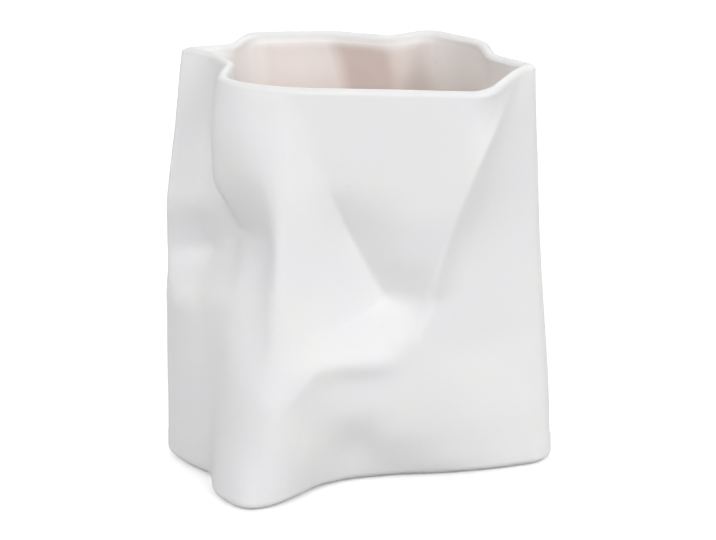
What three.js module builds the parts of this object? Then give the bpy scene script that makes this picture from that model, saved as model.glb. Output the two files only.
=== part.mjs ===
// Porcelain vase in the shape of an opened, crumpled paper bag. Millimetres, +Z up, front towards -Y.
import * as THREE from 'three';

// Overall size of the bag
const BAG_WIDTH = 170;
const BAG_DEPTH = 136;
const BAG_HEIGHT = 190;

// Porcelain casting
const WALL = 5;
const FLOOR = 7;
const FOOT_ROUND = 4;
const FLOOR_FILLET = 8;

// Shallow recess under the floor, so that the vase stands on a flat band
const RECESS_WIDTH = 112;
const RECESS_DEPTH = 32;
const RECESS_CORNER = 12;
const RECESS_HEIGHT = 1.5;

// Glaze coat on the inside of the casting
const GLAZE_GAP = 0.3;
const GLAZE_COAT = 0.9;
const GLAZE_BELOW_LIP = 2;

// Half the height over which a fold line turns from one straight run to the next
const BEND = 5;

// A bend or a crease rounds over at most this share of the straight run beside it
const ROUNDED_SHARE = 0.45;

// Sine of half the angle of the sharpest corner that is inset in full; a sharper one is cut short
const SHARPEST_CORNER = 0.4;

// Spacing of the rings up the wall, closer where the folds cross it
const FOOT_RING_STEP = 5.5;
const FOLDED_RING_STEP = 4;
const RIM_RING_STEP = 7.5;
const HOLLOW_RING_STEP = 10;

// Every fold of the bag is a line from the foot to the rim. A node is [height, x, y, softness]: the
// softness is how far from the line the crease starts to round over. The folds are drawn at this size,
// and most of them cross the wall between the two heights.
const DRAWN_WIDTH = 170;
const DRAWN_DEPTH = 136;
const DRAWN_HEIGHT = 190;
const FOLDED_FROM = 56;
const FOLDED_TO = 150;
const FOLDS = {
  // Left front corner, down to the toe that sticks out in front
  corner_ridge: [
    [0, -76, -12.5, 8], [18, -73.5, -14, 9], [47, -68.5, -15, 8], [70, -66, -13, 7], [89, -63, -10, 6],
    [96, -61.5, -6, 6], [115, -51, 5, 6], [141, -68.5, 5, 6], [168, -70, 3, 7], [190, -65, 6, 6],
  ],
  corner_cheek: [
    [0, -69, -34, 9], [24, -66.5, -28, 9], [52, -61, -29.5, 8], [75, -56, -24, 7], [98, -54, -19, 6],
    [119, -48.5, -9, 6], [152, -60, -15.5, 8], [168, -60.5, -16, 10], [190, -60, -9, 8],
  ],
  front_edge: [
    [0, -54, -35.5, 9], [15, -55.5, -36, 8], [30, -56, -36, 7], [47, -54.5, -36.5, 6],
    [60, -52.5, -33.5, 6], [72, -51, -31.5, 5], [120, -49.5, -28, 5], [142, -49, -28.5, 6],
    [165, -47, -26, 8], [190, -46, -22, 8],
  ],
  ledge_start: [
    [0, -39, -28, 9], [25, -43, -34, 10], [42, -48, -36.5, 9], [50, -47, -37.5, 5], [58, -40, -38.5, 4],
    [64, -37, -38.5, 4], [74, -35, -34.5, 6], [84, -28, -31.5, 8], [98, -28, -28.5, 8],
    [145, -37, -28, 5], [190, -41, -25, 4],
  ],
  // The large triangle of the front, pushed in at its lower tip above the ledge
  triangle_left: [
    [0, -27, -20.5, 8], [23, -30, -28, 9], [45, -37, -33.5, 8], [58, -34.5, -34.5, 4],
    [66, -33, -39.5, 3.5], [81, -18, -31, 6], [88, 4, -22.5, 2], [121, -12.5, -21.5, 1.5],
    [145, -24.5, -28.5, 2], [160, -30, -28, 4], [190, -36, -28, 8],
  ],
  triangle_fold: [
    [0, -11, -18, 8], [20, -11, -22.5, 8], [38, -12, -33, 7], [58, -19, -34, 4], [66, -20.5, -40, 3.5],
    [88, 7.5, -24, 2], [110, 5, -36.5, 4], [131, 6, -43.5, 6], [190, 6, -47, 12],
  ],
  ledge_end: [
    [0, 4, -20, 7], [8, 3, -23.5, 6], [24, -1, -30.5, 5], [40, -4, -35, 6], [56, -7, -35, 4],
    [64, -8, -40, 3.5], [88, 11, -28, 2], [109, 12, -40, 4], [133, 14.5, -48.5, 6], [190, 22, -55, 8],
  ],
  pleat: [
    [0, 12, -21, 8], [25, 10, -34, 6], [50, 8.5, -37, 6], [75, 10.5, -38.5, 4], [89, 14.5, -32.5, 3],
    [109, 17, -43.5, 4], [133, 21, -51.5, 5], [165, 30, -57.5, 6], [190, 37, -61, 14],
  ],
  triangle_right: [
    [0, 31, -25.5, 10], [8, 31, -31, 8], [30, 31, -35.5, 8], [48, 24, -37.5, 7], [73, 15.5, -39.5, 5],
    [91, 19, -39, 4], [99, 20, -42.7, 3], [122, 23.6, -49.5, 2.5], [146, 29.1, -57, 2.5],
    [160, 33.7, -60, 2.5], [170, 39.5, -58, 3], [180, 50.5, -45.8, 4], [190, 60.5, -34.5, 5],
  ],
  // Right half of the front, and the right side with a shallow fold along its middle
  right_hollow: [
    [0, 53.5, -26.5, 9], [10, 52.5, -29.5, 9], [30, 51, -33, 9], [50, 48, -32, 9], [62, 46, -31, 10],
    [98, 31.5, -37.5, 7], [121, 36.5, -38.5, 7], [145, 46, -40.5, 7], [172, 55.5, -38, 7],
    [190, 66, -28.5, 4],
  ],
  right_edge: [
    [0, 87.3, -31.5, 15], [40, 87, -26, 12], [80, 83.5, -25, 10], [120, 80.7, -24, 9],
    [147, 78.9, -23.5, 8], [176, 76.8, -22.7, 6], [190, 75.8, -22.5, 4],
  ],
  right_fold: [
    [0, 90, 15, 12], [60, 84, 12, 10], [105, 74, 8, 8], [150, 73, 4, 8], [190, 65.5, 0.5, 4],
  ],
  // Back
  back_right_edge: [[0, 87, 48, 10], [95, 80, 46, 9], [150, 75, 37, 8], [190, 71.5, 26, 7]],
  back_right_ridge: [[0, 60, 52, 14], [95, 58, 51, 10], [190, 55, 56, 7]],
  back_valley: [
    [0, 30, 49, 14], [60, 36, 45, 8], [95, 34, 38, 5], [140, 38, 43, 6], [190, 33, 50.5, 6],
  ],
  back_ridge: [[0, 2, 51, 14], [95, 16, 46, 6], [145, 21, 56, 4], [190, 11, 68, 4]],
  back_left_ridge: [[0, -36, 52, 14], [70, -34, 54, 10], [120, -26, 58, 6], [190, -27, 79, 6]],
  back_left_valley: [[0, -58, 51, 14], [100, -54, 56, 8], [190, -42, 60, 5]],
  // Left side, folded in along the middle as the side of a bag is, and dented
  left_edge: [
    [0, -82, 46, 8], [72, -80.5, 46.5, 8], [97, -78.3, 53, 6], [122, -80, 44.5, 5], [155, -72.8, 53, 5],
    [190, -65.5, 61.5, 4],
  ],
  left_flap: [
    [0, -78, 24, 12], [80, -78, 25, 8], [99, -56, 40, 5], [124, -66, 33, 4], [152, -54.5, 41.5, 5],
    [190, -55, 44.5, 4],
  ],
  left_groove: [
    [0, -70, 8, 5], [60, -70, 5, 8], [88, -70, 7, 8], [106, -52, 19, 5], [130, -57, 18.5, 5],
    [160, -55.5, 23, 4], [190, -54, 27.5, 3],
  ],
};

const LIP_RADIUS = WALL / 2;
const WALL_TOP = BAG_HEIGHT - LIP_RADIUS;
const GLAZE_TOP = WALL_TOP - GLAZE_BELOW_LIP;
const CREASE_STEPS = evenSteps(0, 1, 2);
const FILLET_ANGLES = evenSteps(0, Math.PI / 2, 3);
const RECESS_ANGLES = evenSteps(0, Math.PI / 2, 5);
const LIP_ANGLES = evenSteps(0, Math.PI, 6);

function evenSteps(from, to, count) {
  return Array.from({ length: count + 1 }, (_, i) => from + (i / count) * (to - from));
}

// Heights from one level up to, but not including, another
function levelsBetween(from, to, step) {
  return evenSteps(from, to, Math.max(1, Math.round((to - from) / step))).slice(0, -1);
}

function scaledHeight(height) {
  return (height / DRAWN_HEIGHT) * BAG_HEIGHT;
}

function scaledNode([height, x, y, softness]) {
  return [
    scaledHeight(height),
    (x / DRAWN_WIDTH) * BAG_WIDTH,
    (y / DRAWN_DEPTH) * BAG_DEPTH,
    softness,
  ];
}

const FOLD_LINES = Object.values(FOLDS).map((nodes) => nodes.map(scaledNode));

// Member of a closed list, counted on past either end
function around(list, i) {
  return list[(i + list.length) % list.length];
}

function mixed(a, b, share) {
  return a.map((value, i) => value + (b[i] - value) * share);
}

// Node-like point of a fold line at a height, with the kinks at its nodes rounded
function pointOnFold(nodes, height) {
  for (let i = 1; i < nodes.length - 1; i += 1) {
    const [before, node, after] = [nodes[i - 1], nodes[i], nodes[i + 1]];
    const shorterRun = Math.min(node[0] - before[0], after[0] - node[0]);
    const reach = Math.min(BEND, ROUNDED_SHARE * shorterRun);
    if (Math.abs(height - node[0]) < reach) {
      const start = mixed(node, before, reach / (node[0] - before[0]));
      const end = mixed(node, after, reach / (after[0] - node[0]));
      const share = (height - start[0]) / (end[0] - start[0]);
      return mixed(mixed(start, node, share), mixed(node, end, share), share);
    }
  }
  const last = nodes.findIndex((node, i) => i > 0 && (height <= node[0] || i === nodes.length - 1));
  const [low, high] = [nodes[last - 1], nodes[last]];
  return mixed(low, high, (height - low[0]) / (high[0] - low[0]));
}

// Corner of an outline moved inwards so that both of its sides move by the inset
function insetCorner(before, corner, after, inset) {
  const into = corner.clone().sub(before).normalize();
  const out = after.clone().sub(corner).normalize();
  const inwards = new THREE.Vector2(-into.y - out.y, into.x + out.x).normalize();
  const slant = Math.max(SHARPEST_CORNER, inwards.x * -into.y + inwards.y * into.x);
  return corner.clone().addScaledVector(inwards, inset / slant);
}

// Closed outline of the bag at a height: straight panels between the folds, rounded at each fold
function outline(height, inset) {
  const points = FOLD_LINES.map((nodes) => pointOnFold(nodes, height));
  const sharp = points.map(([, x, y]) => new THREE.Vector2(x, y));
  const corners = sharp.map((corner, i) => {
    return insetCorner(around(sharp, i - 1), corner, around(sharp, i + 1), inset);
  });
  return corners.flatMap((corner, i) => {
    const softness = points[i][3];
    const roundedTowards = (other) => {
      return corner.clone().lerp(other, Math.min(ROUNDED_SHARE, softness / corner.distanceTo(other)));
    };
    const start = roundedTowards(around(corners, i - 1));
    const end = roundedTowards(around(corners, i + 1));
    const curve = new THREE.QuadraticBezierCurve(start, corner, end);
    return CREASE_STEPS.map((step) => curve.getPoint(step));
  });
}

function ring(height, inset, sectionHeight = height) {
  return outline(sectionHeight, inset).map((point) => new THREE.Vector3(point.x, point.y, height));
}

// Collects rings and flat faces into one closed mesh
class Skin {
  points = [];
  faces = [];

  add(points) {
    const first = this.points.length;
    this.points.push(...points);
    return points.map((_, i) => first + i);
  }

  bridge(lower, upper, facesIn = false) {
    lower.forEach((corner, i) => {
      const next = (i + 1) % lower.length;
      [[lower[next], upper[next]], [upper[next], upper[i]]].forEach(([second, third]) => {
        this.faces.push(corner, ...(facesIn ? [third, second] : [second, third]));
      });
    });
  }

  // Wall through a pile of rings; returns its lowest and its highest ring
  stack(rings, facesIn = false) {
    const added = rings.map((points) => this.add(points));
    added.slice(1).forEach((upper, i) => this.bridge(added[i], upper, facesIn));
    return [added[0], added[added.length - 1]];
  }

  // Flat face inside a ring, with an optional hole in it
  fill(edge, facesUp, hole = []) {
    const flat = (indices) => indices.map((i) => new THREE.Vector2(this.points[i].x, this.points[i].y));
    const indices = [...edge, ...hole];
    THREE.ShapeUtils.triangulateShape(flat(edge), hole.length ? [flat(hole)] : []).forEach(([a, b, c]) => {
      const [p, q, r] = [a, b, c].map((i) => this.points[indices[i]]);
      const turnsLeft = (q.x - p.x) * (r.y - p.y) - (q.y - p.y) * (r.x - p.x) > 0;
      const face = turnsLeft === facesUp ? [a, b, c] : [a, c, b];
      this.faces.push(...face.map((i) => indices[i]));
    });
  }

  geometry() {
    const geometry = new THREE.BufferGeometry().setFromPoints(this.points);
    geometry.setIndex(this.faces);
    geometry.computeVertexNormals();
    return geometry;
  }
}

// Rectangle with rounded corners in the middle of the foot
function recessOutline(height) {
  const centre = footCentre();
  const toCornerX = RECESS_WIDTH / 2 - RECESS_CORNER;
  const toCornerY = RECESS_DEPTH / 2 - RECESS_CORNER;
  const quarters = [[1, 1], [-1, 1], [-1, -1], [1, -1]];
  return quarters.flatMap(([sideX, sideY], quarter) => RECESS_ANGLES.map((angle) => {
    const turn = angle + quarter * (Math.PI / 2);
    const x = centre.x + sideX * toCornerX + RECESS_CORNER * Math.cos(turn);
    const y = centre.y + sideY * toCornerY + RECESS_CORNER * Math.sin(turn);
    return new THREE.Vector3(x, y, height);
  }));
}

function footCentre() {
  return new THREE.Box2().setFromPoints(outline(0, 0)).getCenter(new THREE.Vector2());
}

// Rings of the hollow, from its floor up to the lip, with the slope of the surface at each ring
function hollowRings() {
  const fillet = FILLET_ANGLES.map((slope) => {
    const height = FLOOR + FLOOR_FILLET * (1 - Math.cos(slope));
    return { slope, points: ring(height, WALL + FLOOR_FILLET * (1 - Math.sin(slope))) };
  });
  const levels = [...levelsBetween(FLOOR + FLOOR_FILLET, GLAZE_TOP, HOLLOW_RING_STEP).slice(1), GLAZE_TOP];
  return [...fillet, ...levels.map((level) => ({ slope: Math.PI / 2, points: ring(level, WALL) }))];
}

// Ring lifted off the wall or floor that it lies on
function liftedRing({ slope, points }, distance) {
  return points.map((point, i) => {
    const before = around(points, i - 1);
    const after = around(points, i + 1);
    const inwards = new THREE.Vector3(before.y - after.y, after.x - before.x, 0).normalize();
    const lift = inwards.multiplyScalar(Math.sin(slope)).setZ(Math.cos(slope));
    return point.clone().addScaledVector(lift, distance);
  });
}

function porcelainGeometry() {
  const skin = new Skin();
  const foot = FILLET_ANGLES.map((angle) => {
    return ring(FOOT_ROUND * (1 - Math.cos(angle)), FOOT_ROUND * (1 - Math.sin(angle)));
  });
  const foldedFrom = scaledHeight(FOLDED_FROM);
  const foldedTo = scaledHeight(FOLDED_TO);
  const wall = [
    ...levelsBetween(FOOT_ROUND, foldedFrom, FOOT_RING_STEP).slice(1),
    ...levelsBetween(foldedFrom, foldedTo, FOLDED_RING_STEP),
    ...levelsBetween(foldedTo, WALL_TOP, RIM_RING_STEP),
  ].map((level) => ring(level, 0));
  const lip = LIP_ANGLES.map((angle) => {
    const inset = LIP_RADIUS * (1 - Math.cos(angle));
    return ring(WALL_TOP + LIP_RADIUS * Math.sin(angle), inset, BAG_HEIGHT);
  });
  const [footEdge, lipEdge] = skin.stack([...foot, ...wall, ...lip]);
  const [hollowFloor, hollowEdge] = skin.stack(hollowRings().map(({ points }) => points), true);
  skin.bridge(hollowEdge, lipEdge, true);
  skin.fill(hollowFloor, true);
  const recessEdge = skin.add(recessOutline(0));
  const recessTop = skin.add(recessOutline(RECESS_HEIGHT));
  skin.fill(footEdge, false, recessEdge);
  skin.bridge(recessTop, recessEdge);
  skin.fill(recessTop, false);
  return skin.geometry();
}

function glazeGeometry() {
  const skin = new Skin();
  const hollow = hollowRings();
  const [back, backEdge] = skin.stack(hollow.map((level) => liftedRing(level, GLAZE_GAP)));
  const [face, faceEdge] = skin.stack(hollow.map((level) => liftedRing(level, GLAZE_GAP + GLAZE_COAT)), true);
  skin.bridge(backEdge, faceEdge);
  skin.fill(back, false);
  skin.fill(face, true);
  return skin.geometry();
}

function piece(name, geometry, color, roughness) {
  const mesh = new THREE.Mesh(geometry, new THREE.MeshStandardMaterial({ color, roughness, metalness: 0 }));
  mesh.name = name;
  return mesh;
}

const vase = new THREE.Group();
vase.name = 'paper_bag_vase';
vase.add(piece('porcelain_bag', porcelainGeometry(), 0xf1f0ee, 0.55));
vase.add(piece('glaze_lining', glazeGeometry(), 0xe6dcd7, 0.35));

// The origin is on the ground, under the middle of the bag's overall box
const box = new THREE.Box3().setFromObject(vase);
vase.children.forEach((mesh) => {
  mesh.geometry.translate(-(box.min.x + box.max.x) / 2, -(box.min.y + box.max.y) / 2, -box.min.z);
});

export default vase;
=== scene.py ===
"""Looks of the paper bag vase: a matt porcelain bag, glazed inside, on a pale studio floor."""
import math

import bpy
import numpy as np
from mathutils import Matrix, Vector, noise
from mathutils.geometry import tessellate_polygon


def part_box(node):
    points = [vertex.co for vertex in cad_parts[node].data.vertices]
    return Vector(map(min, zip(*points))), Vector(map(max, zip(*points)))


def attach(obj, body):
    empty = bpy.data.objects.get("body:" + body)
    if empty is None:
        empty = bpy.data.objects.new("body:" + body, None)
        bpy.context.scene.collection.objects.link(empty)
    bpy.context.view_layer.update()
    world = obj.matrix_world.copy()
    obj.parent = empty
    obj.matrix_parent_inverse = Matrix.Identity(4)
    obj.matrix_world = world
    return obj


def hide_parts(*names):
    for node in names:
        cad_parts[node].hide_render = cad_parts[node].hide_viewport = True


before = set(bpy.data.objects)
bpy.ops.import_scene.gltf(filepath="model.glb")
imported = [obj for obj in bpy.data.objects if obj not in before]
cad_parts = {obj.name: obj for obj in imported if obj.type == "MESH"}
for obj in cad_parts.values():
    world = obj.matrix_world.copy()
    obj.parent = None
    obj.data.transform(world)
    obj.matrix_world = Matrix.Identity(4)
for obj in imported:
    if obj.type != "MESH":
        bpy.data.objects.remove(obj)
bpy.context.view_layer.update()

MM = 0.001

# The casting, in millimetres, as in the solids
HEIGHT = 190
WALL = 5
FLOOR = 7
FOOT_ROUND = 4
FLOOR_FILLET = 8
RECESS_WIDTH = 112
RECESS_DEPTH = 32
RECESS_CORNER = 12
RECESS_HEIGHT = 1.5
GLAZE_GAP = 0.3
GLAZE_COAT = 0.9
GLAZE_BELOW_LIP = 2
LIP_RADIUS = WALL / 2
WALL_TOP = HEIGHT - LIP_RADIUS
GLAZE_TOP = WALL_TOP - GLAZE_BELOW_LIP

# Rounding of the folds, as in the solids: its reach along a fold line, in millimetres, the share of a panel
# that it may take up, and the slant at which an inset corner stops growing
BEND = 5
ROUNDED_SHARE = 0.45
SHARPEST_CORNER = 0.4

# Every fold is a line from the foot to the rim; a node is (height, x, y, softness), in millimetres.
# They are the solids' folds, with a shallower ledge and a fuller right half of the foot.
FOLDS = {
    "corner_ridge": [
        (0, -76, -12.5, 8), (18, -73.5, -14, 9), (47, -68.5, -15, 8), (70, -66, -13, 7),
        (89, -63, -10, 6), (96, -61.5, -6, 6), (115, -51, 5, 6), (141, -68.5, 5, 6), (168, -70, 3, 7),
        (190, -65, 6, 6)],
    "corner_cheek": [
        (0, -69, -34, 9), (24, -66.5, -28, 9), (52, -61, -29.5, 8), (75, -56, -24, 7), (98, -54, -19, 6),
        (119, -48.5, -9, 6), (152, -60, -15.5, 8), (168, -60.5, -16, 10), (190, -60, -9, 8)],
    "front_edge": [
        (0, -54, -35.5, 9), (15, -55.5, -36, 8), (30, -56, -36, 7), (47, -54.5, -36.5, 6),
        (60, -52.5, -33.5, 6), (72, -51, -31.5, 5), (120, -49.5, -28, 5), (142, -49, -28.5, 6),
        (165, -47, -26, 8), (190, -46, -22, 8)],
    "ledge_start": [
        (0, -39, -28, 9), (25, -43, -34, 10), (42, -48, -36.5, 9), (50, -47, -37.5, 5),
        (58, -40, -38.5, 4), (64, -37, -38.5, 4), (74, -35, -34.5, 6), (84, -28, -31.5, 8),
        (98, -28, -28.5, 8), (145, -37, -28, 5), (190, -41, -25, 4)],
    "triangle_left": [
        (0, -27, -20.5, 8), (23, -30, -28, 9), (45, -37, -34.5, 8), (58, -34.5, -37.4, 6),
        (66, -33, -39.5, 3.5), (81, -18, -31, 6), (88, 4, -22.5, 2), (121, -12.5, -21.5, 1.5),
        (145, -24.5, -28.5, 2), (160, -30, -28, 4), (190, -36, -28, 8)],
    "triangle_fold": [
        (0, -11, -18, 8), (20, -11, -22.5, 8), (38, -12, -33, 7), (58, -19, -35.7, 4),
        (66, -20.5, -40, 3.5), (88, 7.5, -24, 2), (110, 5, -36.5, 4), (131, 6, -43.5, 6),
        (190, 6, -47, 12)],
    "ledge_end": [
        (0, 4, -20, 7), (8, 3, -23.5, 6), (24, -1, -30.5, 5), (40, -4, -35, 6), (56, -7, -36, 4),
        (64, -8, -40, 3.5), (88, 11, -28, 2), (109, 12, -40, 4), (133, 14.5, -48.5, 6),
        (190, 22, -55, 8)],
    "pleat": [
        (0, 12, -21, 8), (25, 10, -34, 6), (50, 8.5, -37, 6), (75, 10.5, -38.5, 4), (89, 14.5, -32.5, 3),
        (109, 17, -43.5, 4), (133, 21, -51.5, 5), (165, 30, -57.5, 6), (190, 37, -61, 14)],
    "triangle_right": [
        (0, 31, -26.5, 10), (8, 31, -31, 8), (30, 31, -35.5, 8), (48, 24, -37.5, 7), (73, 15.5, -39.5, 5),
        (91, 19, -39, 4), (99, 20, -42.7, 3), (122, 23.6, -49.5, 2.5), (146, 29.1, -57, 2.5),
        (160, 33.7, -60, 2.5), (170, 39.5, -58, 3), (180, 50.5, -45.8, 4), (190, 60.5, -34.5, 5)],
    "right_hollow": [
        (0, 55, -30.5, 9), (10, 54, -31.5, 9), (30, 51, -33, 9), (50, 48, -32, 9), (62, 46, -31, 10),
        (98, 31.5, -37.5, 7), (121, 36.5, -38.5, 7), (145, 46, -40.5, 7), (172, 55.5, -38, 7),
        (190, 66, -28.5, 4)],
    "right_edge": [
        (0, 87.3, -31.5, 15), (40, 87, -26, 12), (80, 83.5, -25, 10), (120, 80.7, -24, 9),
        (147, 78.9, -23.5, 8), (176, 76.8, -22.7, 6), (190, 75.8, -22.5, 4)],
    "right_fold": [
        (0, 90, 15, 12), (60, 84, 12, 10), (105, 74, 8, 8), (150, 73, 4, 8), (190, 65.5, 0.5, 4)],
    "back_right_edge": [(0, 87, 48, 10), (95, 80, 46, 9), (150, 75, 37, 8), (190, 71.5, 26, 7)],
    "back_right_ridge": [(0, 60, 52, 14), (95, 58, 51, 10), (190, 55, 56, 7)],
    "back_valley": [
        (0, 30, 49, 14), (60, 36, 45, 8), (95, 34, 38, 5), (140, 38, 43, 6), (190, 33, 50.5, 6)],
    "back_ridge": [(0, 2, 51, 14), (95, 16, 46, 6), (145, 21, 56, 4), (190, 11, 68, 4)],
    "back_left_ridge": [(0, -36, 52, 14), (70, -34, 54, 10), (120, -26, 58, 6), (190, -27, 79, 6)],
    "back_left_valley": [(0, -58, 51, 14), (100, -54, 56, 8), (190, -42, 60, 5)],
    "left_edge": [
        (0, -82, 46, 8), (72, -80.5, 46.5, 8), (97, -78.3, 53, 6), (122, -80, 44.5, 5),
        (155, -72.8, 53, 5), (190, -65.5, 61.5, 4)],
    "left_flap": [
        (0, -78, 24, 12), (80, -78, 25, 8), (99, -56, 40, 5), (124, -66, 33, 4), (152, -54.5, 41.5, 5),
        (190, -55, 44.5, 4)],
    "left_groove": [
        (0, -70, 8, 5), (60, -70, 5, 8), (88, -70, 7, 8), (106, -52, 19, 5), (130, -57, 18.5, 5),
        (160, -55.5, 23, 4), (190, -54, 27.5, 3)],
}

# Finer than the solids, in millimetres: edges of the recess, the glaze thinning out below the lip,
# and hand-cast waves as (size, depth)
RECESS_EDGE = 0.7
GLAZE_FEATHER = 26
WAVES = ((34, 0.3), (11, 0.07))
WAVES_FADE = 9

# Share of its full thickness that the glaze keeps at its upper edge
GLAZE_THINNEST = 0.06
# Painted shade on the glaze of the panel that follows a fold, as a share of the way to the deepest tone
GLAZE_PAINTED_SHADE = {"back_right_ridge": 0.5, "back_valley": 0.95, "back_ridge": 0.4}
# Angles around the lip over which the tone of the inside sets in
INSIDE_TONE = (0.8 * math.pi, 1.2 * math.pi)
# Share of the rounded foot that is ground
GROUND_SHARE = 0.25

# How finely the surface is drawn: points, steps in millimetres, and passes of smoothing with their ease
CREASE_POINTS = 7
PANEL_POINTS = 4
WALL_STEP = 1.4
HOLLOW_STEP = 2
FILLET_POINTS = 9
LIP_POINTS = 15
SMOOTHING = 3
SMOOTHING_EASE = 0.5
# Strip, in millimetres, that keeps the shading of a rounded edge off the flat beside it
FLAT_MARGIN = 0.7
# Edges that turn by more than these degrees are drawn sharp
SHARP_EDGE = 50
# A crease of this radius, in millimetres, counts as fully sharp to the materials
SHARP_RADIUS = 4
# Below these, in millimetres and in metres, a length counts as none
NO_LENGTH = 1e-9
NO_EDGE = 1e-6

FOLD_LINES = [np.array(nodes, float) for nodes in FOLDS.values()]
QUARTER = np.linspace(0, math.pi / 2, FILLET_POINTS)


def unit(vectors):
    return vectors / np.maximum(np.linalg.norm(vectors, axis=-1, keepdims=True), NO_LENGTH)


def fold_point(nodes, height):
    """x, y and softness of a fold line at a height, with the kinks at its nodes rounded."""
    for before, node, after in zip(nodes, nodes[1:], nodes[2:]):
        reach = min(BEND, ROUNDED_SHARE * min(node[0] - before[0], after[0] - node[0]))
        if abs(height - node[0]) < reach:
            start = node + (before - node) * reach / (node[0] - before[0])
            end = node + (after - node) * reach / (after[0] - node[0])
            share = (height - start[0]) / (end[0] - start[0])
            low = start + (node - start) * share
            high = node + (end - node) * share
            return (low + (high - low) * share)[1:]
    upper = int(np.clip(np.searchsorted(nodes[:, 0], height), 1, len(nodes) - 1))
    low, high = nodes[upper - 1], nodes[upper]
    return (low + (high - low) * (height - low[0]) / (high[0] - low[0]))[1:]


def outline(height, inset):
    """Closed outline of the bag at a height: panels between the folds, rounded at each fold."""
    points = np.array([fold_point(nodes, height) for nodes in FOLD_LINES])
    sharp, softness = points[:, :2], points[:, 2]
    into = unit(sharp - np.roll(sharp, 1, 0))
    out = unit(np.roll(sharp, -1, 0) - sharp)
    inwards = unit(np.stack([-into[:, 1] - out[:, 1], into[:, 0] + out[:, 0]], 1))
    slant = np.maximum(SHARPEST_CORNER, inwards[:, 1] * into[:, 0] - inwards[:, 0] * into[:, 1])
    corners = sharp + inwards * (inset / slant)[:, None]

    def rounded_towards(others):
        share = np.minimum(ROUNDED_SHARE, softness / np.linalg.norm(others - corners, axis=1))
        return corners + (others - corners) * share[:, None]

    starts = rounded_towards(np.roll(corners, 1, 0))[:, None]
    ends = rounded_towards(np.roll(corners, -1, 0))[:, None]
    along = np.linspace(0, 1, CREASE_POINTS)[None, :, None]
    creases = (1 - along) ** 2 * starts + 2 * along * (1 - along) * corners[:, None] + along ** 2 * ends
    across = np.linspace(0, 1, PANEL_POINTS + 2)[1:-1][None, :, None]
    panels = ends + (np.roll(starts, -1, 0) - ends) * across
    return np.concatenate([creases, panels], 1).reshape(-1, 2)


def ring(height, inset, section_height=None):
    flat = outline(height if section_height is None else section_height, inset)
    return np.column_stack([flat, np.full(len(flat), float(height))])


def steps(start, end, step):
    return np.linspace(start, end, max(1, round((end - start) / step)) + 1)


def ramp(value, start, end):
    """Smooth rise from 0 to 1 as the value goes from start to end."""
    share = np.clip((value - start) / (end - start), 0, 1)
    return share * share * (3 - 2 * share)


def surface_normals(grid):
    """Normals of a grid of rings, pointing out of the bag."""
    around = np.roll(grid, -1, 1) - np.roll(grid, 1, 1)
    return unit(np.cross(around, np.gradient(grid, axis=0)))


def smoothed(grid, fixed_ends):
    """Rings eased towards their neighbours in plan, away from the first and last rings."""
    ease = np.full(len(grid), SMOOTHING_EASE)
    ease[:fixed_ends] = 0
    ease[-fixed_ends:] = 0
    for _ in range(SMOOTHING):
        around = (np.roll(grid, 1, 1) + np.roll(grid, -1, 1)) / 2
        along = grid.copy()
        along[1:-1] = (grid[:-2] + grid[2:]) / 2
        goal = (around + along) / 2
        grid[:, :, :2] += (goal - grid)[:, :, :2] * ease[:, None, None]
    return grid


def waved(grid):
    """Rings with the slight unevenness of a hand-made casting, fading out at the foot and the lip."""
    heights = grid[:, :, 2]
    fade = ramp(heights, 0, WAVES_FADE) * ramp(heights, HEIGHT, HEIGHT - WAVES_FADE)
    offset = np.zeros(heights.shape)
    for size, depth in WAVES:
        offset += depth * np.array([[noise.noise(Vector(point) / size) for point in row] for row in grid])
    return grid + surface_normals(grid) * (offset * fade)[:, :, None]


class Skin:
    """Collects rings and flat faces into one closed mesh, with marks on its points for the materials."""

    def __init__(self):
        self.points = []
        self.faces = []
        # The run mark carries painted shade on the glaze
        self.marks = {"inside": [], "foot": [], "run": []}

    def add(self, points, **marks):
        first = len(self.points)
        self.points.extend(tuple(point) for point in points)
        for name, values in self.marks.items():
            values.extend(np.broadcast_to(marks.get(name, 0.0), len(points)))
        return list(range(first, first + len(points)))

    def stack(self, rings, faces_in=False, **marks):
        """Wall through a pile of rings, with a mark for each ring; returns its first and its last ring."""
        added = []
        for i, points in enumerate(rings):
            added.append(self.add(points, **{name: values[i] for name, values in marks.items()}))
        for lower, upper in zip(added, added[1:]):
            self.bridge(lower, upper, faces_in)
        return added[0], added[-1]

    def bridge(self, lower, upper, faces_in=False):
        for i in range(len(lower)):
            j = (i + 1) % len(lower)
            face = (lower[i], lower[j], upper[j], upper[i])
            self.faces.append(face[::-1] if faces_in else face)

    def fill(self, edge, faces_up, hole=()):
        """Flat face inside a ring, with an optional hole in it."""
        loops = [[Vector(self.points[i]) for i in loop] for loop in (edge, hole) if loop]
        indices = [*edge, *hole]
        for triangle in tessellate_polygon(loops):
            corners = [indices[i] for i in triangle]
            a, b, c = (self.points[i] for i in corners)
            turns_left = (b[0] - a[0]) * (c[1] - a[1]) > (b[1] - a[1]) * (c[0] - a[0])
            self.faces.append(tuple(corners if turns_left == faces_up else corners[::-1]))

    def to_object(self, name, shift):
        """Mesh object in metres, moved in plan, with its marks and its creases stored on the points."""
        mesh = bpy.data.meshes.new(name)
        mesh.from_pydata([Vector(point) * MM + shift for point in self.points], [], self.faces)
        mesh.shade_smooth()
        mesh.set_sharp_from_angle(angle=math.radians(SHARP_EDGE))
        for mark, values in self.marks.items():
            mesh.attributes.new(mark, "FLOAT", "POINT").data.foreach_set("value", values)
        mesh.attributes.new("crease", "FLOAT", "POINT").data.foreach_set("value", creases_of(mesh))
        piece = bpy.data.objects.new(name, mesh)
        bpy.context.scene.collection.objects.link(piece)
        return piece


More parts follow.
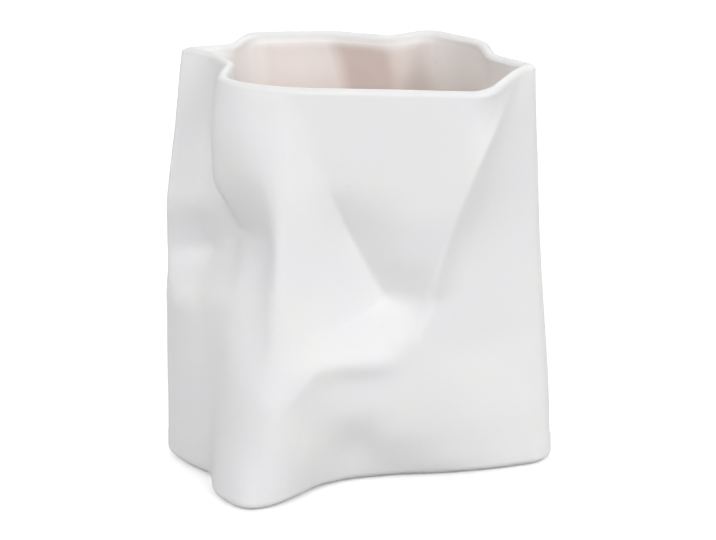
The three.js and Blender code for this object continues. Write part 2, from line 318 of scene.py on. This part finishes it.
def creases_of(mesh):
    """How sharply the surface turns at each point: above 0 on a ridge, below 0 in a fold."""
    count = len(mesh.vertices)
    points, normals = np.empty(count * 3), np.empty(count * 3)
    ends = np.empty(len(mesh.edges) * 2, int)
    mesh.vertices.foreach_get("co", points)
    mesh.vertex_normals.foreach_get("vector", normals)
    mesh.edges.foreach_get("vertices", ends)
    points, normals = points.reshape(-1, 3), normals.reshape(-1, 3)
    first, second = ends.reshape(-1, 2).T
    run = points[second] - points[first]
    turn = ((normals[second] - normals[first]) * run).sum(1) / np.maximum((run * run).sum(1), NO_EDGE ** 2)
    neighbours = np.bincount(ends, minlength=count)

    def gathered(from_first, from_second):
        return (np.bincount(second, from_first, count) + np.bincount(first, from_second, count)) / neighbours

    bend = np.clip(gathered(turn, turn) * SHARP_RADIUS * MM, -1, 1)
    for _ in range(SMOOTHING):
        bend = (bend + gathered(bend[first], bend[second])) / 2
    return bend


def outer_rings():
    """Rings of the outside, from the flat of the foot to the inner side of the lip, and their marks."""
    flat = [ring(0, FOOT_ROUND + FLAT_MARGIN)]
    foot = [ring(FOOT_ROUND * (1 - math.cos(a)), FOOT_ROUND * (1 - math.sin(a))) for a in QUARTER]
    wall = [ring(height, 0) for height in steps(FOOT_ROUND, WALL_TOP, WALL_STEP)[1:-1]]
    lip_angles = np.linspace(0, math.pi, LIP_POINTS)
    lip = [ring(WALL_TOP + LIP_RADIUS * math.sin(a), LIP_RADIUS * (1 - math.cos(a)), HEIGHT)
           for a in lip_angles]
    rings = np.array(flat + foot + wall + lip)
    inside = np.zeros(len(rings))
    inside[-LIP_POINTS:] = ramp(lip_angles, *INSIDE_TONE)
    on_foot = ramp(rings[:, 0, 2], GROUND_SHARE * FOOT_ROUND, 0)
    return waved(smoothed(rings, LIP_POINTS)), inside, on_foot


def hollow_rings(lift):
    """Rings of the hollow lifted off its floor and wall, by less and less towards the lip."""
    wall_heights = steps(FLOOR + FLOOR_FILLET, GLAZE_TOP, HOLLOW_STEP)[1:]
    levels = [(0, FLAT_MARGIN, FLOOR)]
    levels += [(slope, 0, FLOOR + FLOOR_FILLET * (1 - math.cos(slope))) for slope in QUARTER]
    levels += [(math.pi / 2, 0, height) for height in wall_heights]
    rings = []
    for slope, margin, height in levels:
        inset = WALL + FLOOR_FILLET * (1 - math.sin(slope)) + margin
        off = lift * max(GLAZE_THINNEST, ramp(height, GLAZE_TOP, GLAZE_TOP - GLAZE_FEATHER))
        rings.append(ring(height + off * math.cos(slope), inset + off * math.sin(slope), height))
    return np.array(rings)


def recess_ring(grow, height):
    """Rectangle with rounded corners in the middle of the foot."""
    foot = outline(0, 0)
    centre = (foot.min(0) + foot.max(0)) / 2
    to_corner = np.array([RECESS_WIDTH, RECESS_DEPTH]) / 2 - RECESS_CORNER
    points = []
    for quarter, side in enumerate(((1, 1), (-1, 1), (-1, -1), (1, -1))):
        for angle in QUARTER + quarter * math.pi / 2:
            arc = np.array([math.cos(angle), math.sin(angle)]) * (RECESS_CORNER + grow)
            points.append((*(centre + to_corner * side + arc), height))
    return points


def recess_rings():
    """Rings of the recess, from its margin on the foot over two softened edges to its margin on top."""
    foot_margin = recess_ring(RECESS_EDGE + FLAT_MARGIN, 0)
    edge = [recess_ring(RECESS_EDGE * (1 - math.sin(a)), RECESS_EDGE * (1 - math.cos(a))) for a in QUARTER]
    top = [recess_ring(-RECESS_EDGE * (1 - math.cos(a)), RECESS_HEIGHT - RECESS_EDGE * (1 - math.sin(a)))
           for a in QUARTER]
    top_margin = recess_ring(-RECESS_EDGE - FLAT_MARGIN, RECESS_HEIGHT)
    return [foot_margin, *edge, *top, top_margin]


def porcelain_skin():
    skin = Skin()
    rings, inside, on_foot = outer_rings()
    foot_edge, lip_edge = skin.stack(rings, inside=inside, foot=on_foot)
    hollow = hollow_rings(0)
    hollow_floor, hollow_edge = skin.stack(hollow, faces_in=True, inside=np.ones(len(hollow)))
    skin.bridge(hollow_edge, lip_edge, faces_in=True)
    skin.fill(hollow_floor, faces_up=True)
    recess = recess_rings()
    recess_edge, recess_top = skin.stack(recess, faces_in=True, foot=np.ones(len(recess)))
    skin.fill(foot_edge, faces_up=False, hole=recess_edge)
    skin.fill(recess_top, faces_up=False)
    return skin


def glaze_painted_shade():
    """How much painted shade the glaze takes at each point of a ring."""
    panels = np.array([GLAZE_PAINTED_SHADE.get(name, 0) for name in FOLDS], float)[:, None]
    across = np.linspace(0, 1, CREASE_POINTS)
    creases = np.roll(panels, 1, 0) * (1 - across) + panels * across
    return np.concatenate([creases, np.repeat(panels, PANEL_POINTS, 1)], 1).ravel()


def glaze_skin():
    """Coat on the hollow, thinning out towards the lip."""
    skin = Skin()
    under, over = hollow_rings(GLAZE_GAP), hollow_rings(GLAZE_GAP + GLAZE_COAT)
    # Painted shade on the glaze of some panels, the same in every ring
    painted_shade_rings = [glaze_painted_shade()] * len(under)
    back, back_edge = skin.stack(under, run=painted_shade_rings)
    face, face_edge = skin.stack(over, faces_in=True, run=painted_shade_rings)
    skin.bridge(back_edge, face_edge)
    skin.fill(back, faces_up=False)
    skin.fill(face, faces_up=True)
    return skin


def shift_onto(skin, node):
    """Plan move, in metres, that brings the middle of a skin to the middle of a node."""
    points = np.array(skin.points) * MM
    goal = (np.array(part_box(node)[0]) + np.array(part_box(node)[1])) / 2
    shift = goal - (points.min(0) + points.max(0)) / 2
    return Vector((shift[0], shift[1], 0))


# Tones, linear
BODY_COOL = (0.839, 0.838, 0.849, 1)
BODY_WARM = (0.846, 0.841, 0.838, 1)
# Painted highlight on the ridges
BODY_RIDGE_HIGHLIGHT = (0.88, 0.876, 0.868, 1)
# Painted shade in the folds
BODY_FOLD_SHADE = (0.76, 0.745, 0.72, 1)
BODY_FOOT = (0.74, 0.725, 0.7, 1)
BODY_SPECK = (0.74, 0.72, 0.69, 1)
GLAZE_THIN = (0.9, 0.885, 0.872, 1)
GLAZE_PALE = (0.9, 0.874, 0.855, 1)
# Deep glaze, which also gives the painted shade in the folds and on some panels
GLAZE_DEEP_AND_SHADE = (0.69, 0.595, 0.565, 1)
GLAZE_SPECK = (0.7, 0.63, 0.59, 1)
FLOOR_PALE = (0.96, 0.96, 0.96, 1)
FLOOR_PALER = (0.98, 0.98, 0.98, 1)
FLOOR_BOUNCE = (0.7, 0.7, 0.7, 1)
WHITE = (1, 1, 1, 1)

# Runs of a crease and of a noise over which a finish, a painted shade or a painted highlight changes
RIDGE = (0.1, 0.9)
FOLD = (-0.1, -0.9)
NOISE = (0.3, 0.7)
NARROW_NOISE = (0.34, 0.66)
WIDE_NOISE = (0.25, 0.75)

# Strength of the finishes and of the painted shade and highlights, as shares, and their roughness
# Painted shade in the folds
FOLD_SHADE = 0.25
# Painted highlight on the ridges
RIDGE_HIGHLIGHT = 0.35
FOOT_GRIND = (0.5, 1)
BODY_ROUGH = (0.5, 0.62)
RIDGE_POLISH = 0.1
FOOT_COARSE = 0.2
GLAZE_BELOW = 0.8
# Glaze pooled in the folds, with painted shade there
GLAZE_IN_FOLDS = 0.35
GLAZE_OFF_RIDGES = 0.8
GLAZE_CLOUDS = (0.85, 1)
GLAZE_ROUGH = (0.36, 0.48)
GLAZE_GLOSS = 0.06
GLAZE_GLOSS_ROUGH = 0.3
PAPER_ROUGH = 0.8
# Height, in millimetres, from which the glaze is no deeper further down
GLAZE_DEEP_HEIGHT = 0.6 * HEIGHT
# Radii, as shares of a speck's own, between which it fades out
SPECK_FADE = (0.6, 1.2)
# Light of its own that the floor shows
FLOOR_GLOW = 0.21

# Sockets of the mix node when it mixes colours
MIX_FACTOR, MIX_A, MIX_B, MIX_RESULT = 0, 6, 7, 2


class Shader:
    """Node material with short calls for the nodes that it is made of; sizes are in millimetres."""

    def __init__(self, name):
        self.material = bpy.data.materials.new(name)
        self.material.use_nodes = True
        self.tree = self.material.node_tree
        self.surface = self.tree.nodes["Principled BSDF"]
        self.place = self.tree.nodes.new("ShaderNodeTexCoord").outputs["Object"]

    def feed(self, socket, value):
        if isinstance(value, bpy.types.NodeSocket):
            self.tree.links.new(value, socket)
        else:
            socket.default_value = value

    def set(self, **values):
        for name, value in values.items():
            self.feed(self.surface.inputs[name.replace("_", " ")], value)

    def noise(self, size, detail):
        node = self.tree.nodes.new("ShaderNodeTexNoise")
        self.feed(node.inputs["Vector"], self.place)
        node.inputs["Scale"].default_value = 1 / (size * MM)
        node.inputs["Detail"].default_value = detail
        return node.outputs["Fac"]

    def mark(self, name):
        node = self.tree.nodes.new("ShaderNodeAttribute")
        node.attribute_name = name
        return node.outputs["Fac"]

    def height(self):
        node = self.tree.nodes.new("ShaderNodeSeparateXYZ")
        self.feed(node.inputs["Vector"], self.place)
        return node.outputs["Z"]

    def ranged(self, value, run, result=(0, 1)):
        """The value's way through a run, eased and turned into the way from one result to the other."""
        node = self.tree.nodes.new("ShaderNodeMapRange")
        node.interpolation_type = "SMOOTHSTEP"
        for name, number in zip(("From Min", "From Max", "To Min", "To Max"), (*run, *result)):
            node.inputs[name].default_value = number
        self.feed(node.inputs["Value"], value)
        return node.outputs["Result"]

    def maths(self, operation, first, second):
        node = self.tree.nodes.new("ShaderNodeMath")
        node.operation = operation
        self.feed(node.inputs[0], first)
        self.feed(node.inputs[1], second)
        return node.outputs["Value"]

    def mix(self, factor, first, second):
        node = self.tree.nodes.new("ShaderNodeMix")
        node.data_type = "RGBA"
        self.feed(node.inputs[MIX_FACTOR], factor)
        self.feed(node.inputs[MIX_A], first)
        self.feed(node.inputs[MIX_B], second)
        return node.outputs[MIX_RESULT]

    def specks(self, spacing, radius, kept):
        """Mask of small round specks, of which only a share is kept."""
        node = self.tree.nodes.new("ShaderNodeTexVoronoi")
        self.feed(node.inputs["Vector"], self.place)
        node.inputs["Scale"].default_value = 1 / (spacing * MM)
        chance = self.tree.nodes.new("ShaderNodeSeparateColor")
        self.feed(chance.inputs["Color"], node.outputs["Color"])
        fade = [share * radius / spacing for share in SPECK_FADE]
        round_spot = self.ranged(node.outputs["Distance"], fade, (1, 0))
        return self.maths("MULTIPLY", round_spot, self.maths("LESS_THAN", chance.outputs["Red"], kept))

    def bump(self, depth, height, below=None):
        node = self.tree.nodes.new("ShaderNodeBump")
        node.inputs["Distance"].default_value = depth * MM
        self.feed(node.inputs["Height"], height)
        if below is not None:
            self.feed(node.inputs["Normal"], below)
        return node.outputs["Normal"]


def porcelain_material():
    """Matt white body: clouded tone, painted shade in the folds, a painted highlight on the polished ridges,
    a ground foot and a few faint specks.
    """
    shader = Shader("matt_porcelain")
    crease = shader.mark("crease")
    foot = shader.mark("foot")
    ridge = shader.ranged(crease, RIDGE)
    # Painted shade in the folds
    fold_shade = shader.ranged(crease, FOLD, (0, FOLD_SHADE))
    grind = shader.ranged(shader.noise(size=5, detail=5), NOISE, FOOT_GRIND)
    specks = shader.specks(spacing=7, radius=0.28, kept=0.05)
    tone = shader.mix(shader.ranged(shader.noise(size=24, detail=4), NARROW_NOISE), BODY_COOL, BODY_WARM)
    tone = shader.mix(fold_shade, tone, BODY_FOLD_SHADE)
    # Painted highlight on the ridges, which are also polished below
    tone = shader.mix(shader.maths("MULTIPLY", ridge, RIDGE_HIGHLIGHT), tone, BODY_RIDGE_HIGHLIGHT)
    tone = shader.mix(shader.maths("MULTIPLY", foot, grind), tone, BODY_FOOT)
    tone = shader.mix(specks, tone, BODY_SPECK)
    tone = shader.mix(shader.mark("inside"), tone, GLAZE_THIN)
    rough = shader.ranged(shader.noise(size=12, detail=4), NOISE, BODY_ROUGH)
    rough = shader.maths("SUBTRACT", rough, shader.maths("MULTIPLY", ridge, RIDGE_POLISH))
    rough = shader.maths("ADD", rough, shader.maths("MULTIPLY", foot, FOOT_COARSE))
    ripples = shader.bump(depth=0.05, height=shader.noise(size=6, detail=3))
    grain = shader.bump(depth=0.012, height=shader.noise(size=0.7, detail=3), below=ripples)
    shader.set(Base_Color=tone, Roughness=rough, Normal=grain)
    return shader.material


def glaze_material():
    """Satin glaze: pale where it is thin, deeper below, pooled and with painted shade in the folds, with
    painted shade on the panels after some folds, lightly pitted.
    """
    shader = Shader("satin_glaze")
    clouds = shader.noise(size=18, detail=4)
    crease = shader.mark("crease")
    below = shader.ranged(shader.height(), (GLAZE_TOP * MM, GLAZE_DEEP_HEIGHT * MM), (0, GLAZE_BELOW))
    # Glaze pooled in the folds, with painted shade there too
    in_fold = shader.ranged(crease, FOLD, (0, GLAZE_IN_FOLDS))
    # The run mark is painted shade on some panels
    deep_tone_and_shade = shader.maths("ADD", shader.maths("ADD", below, in_fold), shader.mark("run"))
    deep_tone_and_shade = shader.maths("MULTIPLY", deep_tone_and_shade, shader.ranged(clouds, WIDE_NOISE, GLAZE_CLOUDS))
    specks = shader.specks(spacing=5, radius=0.25, kept=0.06)
    # Pale to deep glaze, with the painted shade mixed in
    tone = shader.mix(deep_tone_and_shade, GLAZE_PALE, GLAZE_DEEP_AND_SHADE)
    tone = shader.mix(shader.ranged(crease, RIDGE, (0, GLAZE_OFF_RIDGES)), tone, GLAZE_THIN)
    tone = shader.mix(specks, tone, GLAZE_SPECK)
    rough = shader.ranged(clouds, NOISE, GLAZE_ROUGH)
    ripples = shader.bump(depth=0.08, height=shader.noise(size=9, detail=2))
    pits = shader.bump(depth=0.01, height=shader.noise(size=1.1, detail=2), below=ripples)
    shader.set(Base_Color=tone, Roughness=rough, Normal=pits)
    shader.set(Coat_Weight=GLAZE_GLOSS, Coat_Roughness=GLAZE_GLOSS_ROUGH)
    return shader.material


def floor_material():
    """Pale studio paper with a faint unevenness, whiter to the eye than in the light that it throws back."""
    shader = Shader("studio_paper")
    paper = shader.mix(shader.noise(size=3, detail=3), FLOOR_PALE, FLOOR_PALER)
    seen = shader.tree.nodes.new("ShaderNodeLightPath").outputs["Is Camera Ray"]
    shader.set(Base_Color=shader.mix(seen, FLOOR_BOUNCE, paper), Roughness=PAPER_ROUGH)
    shader.set(Emission_Color=WHITE, Emission_Strength=shader.maths("MULTIPLY", seen, FLOOR_GLOW))
    return shader.material


# Pieces
porcelain = porcelain_skin()
SHIFT = shift_onto(porcelain, "porcelain_bag")
body = porcelain.to_object("porcelain_body", SHIFT)
coat = glaze_skin().to_object("glaze_coat", SHIFT)
body.data.materials.append(porcelain_material())
coat.data.materials.append(glaze_material())
for piece, node, slot in ((body, "porcelain_bag", "porcelain"), (coat, "glaze_lining", "glaze")):
    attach(piece, "root")
    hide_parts(node)

# Studio, in metres
FLOOR_HALF = 4
FLOOR_DROP = 0.0004
CAMERA_PLACE = Vector((-0.35465, -0.9744, 0.4622))
CAMERA_AIM = Vector((0, 0, 0.095))
CAMERA_SHIFT = -0.0028
LIGHT_AIM = Vector((0, 0, 0.1))
LIGHT_DISTANCE = 2.2
LIGHT_SIZE = 1.0
# Camera sensor and lens, in millimetres
CAMERA_SENSOR = 36
CAMERA_LENS = 122.2
# Soft boxes as azimuth and elevation in degrees, and power in watts;
# azimuth 0 is in front and grows to the right
SOFT_BOXES = {
    "key": (-40, 40, 9.8),
    "front_low": (20, 14, 5.5),
    "front_high": (20, 40, 3.8),
    "right": (90, 40, 4.9),
    "back": (160, 70, 6.6),
    "left": (-110, 70, 3.5),
}
# Soft light all around, as its share at sines of the height above the horizon
RING_LIGHT = ((0.25, 0), (0.35, 1), (0.5, 1), (0.6, 0))
RING_STRENGTH = 2.76
VIEW_GAMMA = 0.72


def studio_floor():
    mesh = bpy.data.meshes.new("studio_floor")
    sides = ((-1, -1), (1, -1), (1, 1), (-1, 1))
    corners = [(x * FLOOR_HALF, y * FLOOR_HALF, -FLOOR_DROP) for x, y in sides]
    mesh.from_pydata(corners, [], [(0, 1, 2, 3)])
    mesh.materials.append(floor_material())
    floor = bpy.data.objects.new("studio_floor", mesh)
    bpy.context.scene.collection.objects.link(floor)


def studio_ring_light():
    """Ring of soft light around the studio, dark below and above."""
    world = bpy.data.worlds.new("studio")
    bpy.context.scene.world = world
    world.use_nodes = True
    nodes, links = world.node_tree.nodes, world.node_tree.links
    parts = nodes.new("ShaderNodeSeparateXYZ")
    band = nodes.new("ShaderNodeValToRGB")
    band.color_ramp.interpolation = "EASE"
    for place, _ in RING_LIGHT[1:-1]:
        band.color_ramp.elements.new(place)
    for element, (place, share) in zip(band.color_ramp.elements, RING_LIGHT):
        element.position = place
        element.color = (share, share, share, 1)
    links.new(nodes.new("ShaderNodeTexCoord").outputs["Generated"], parts.inputs["Vector"])
    links.new(parts.outputs["Z"], band.inputs["Fac"])
    links.new(band.outputs["Color"], nodes["Background"].inputs["Color"])
    nodes["Background"].inputs["Strength"].default_value = RING_STRENGTH


def soft_box(name, azimuth, elevation, power):
    """Square area light aimed at the vase."""
    data = bpy.data.lights.new(name, "AREA")
    data.size = LIGHT_SIZE
    data.energy = power
    light = bpy.data.objects.new(name, data)
    bpy.context.scene.collection.objects.link(light)
    turn, rise = math.radians(azimuth), math.radians(elevation)
    towards = Vector((math.sin(turn) * math.cos(rise), -math.cos(turn) * math.cos(rise), math.sin(rise)))
    light.location = LIGHT_AIM + LIGHT_DISTANCE * towards
    light.rotation_euler = (-towards).to_track_quat("-Z", "Y").to_euler()


def studio_camera():
    data = bpy.data.cameras.new("camera")
    camera = bpy.data.objects.new("camera", data)
    bpy.context.scene.collection.objects.link(camera)
    bpy.context.scene.camera = camera
    camera.location = CAMERA_PLACE + SHIFT
    camera.rotation_euler = (CAMERA_AIM - CAMERA_PLACE).to_track_quat("-Z", "Y").to_euler()
    data.sensor_width = CAMERA_SENSOR
    data.lens = CAMERA_LENS
    data.shift_x = CAMERA_SHIFT


studio_floor()
studio_ring_light()
for box, placing in SOFT_BOXES.items():
    soft_box(box, *placing)
studio_camera()
bpy.context.scene.view_settings.view_transform = "Standard"
bpy.context.scene.view_settings.gamma = VIEW_GAMMA
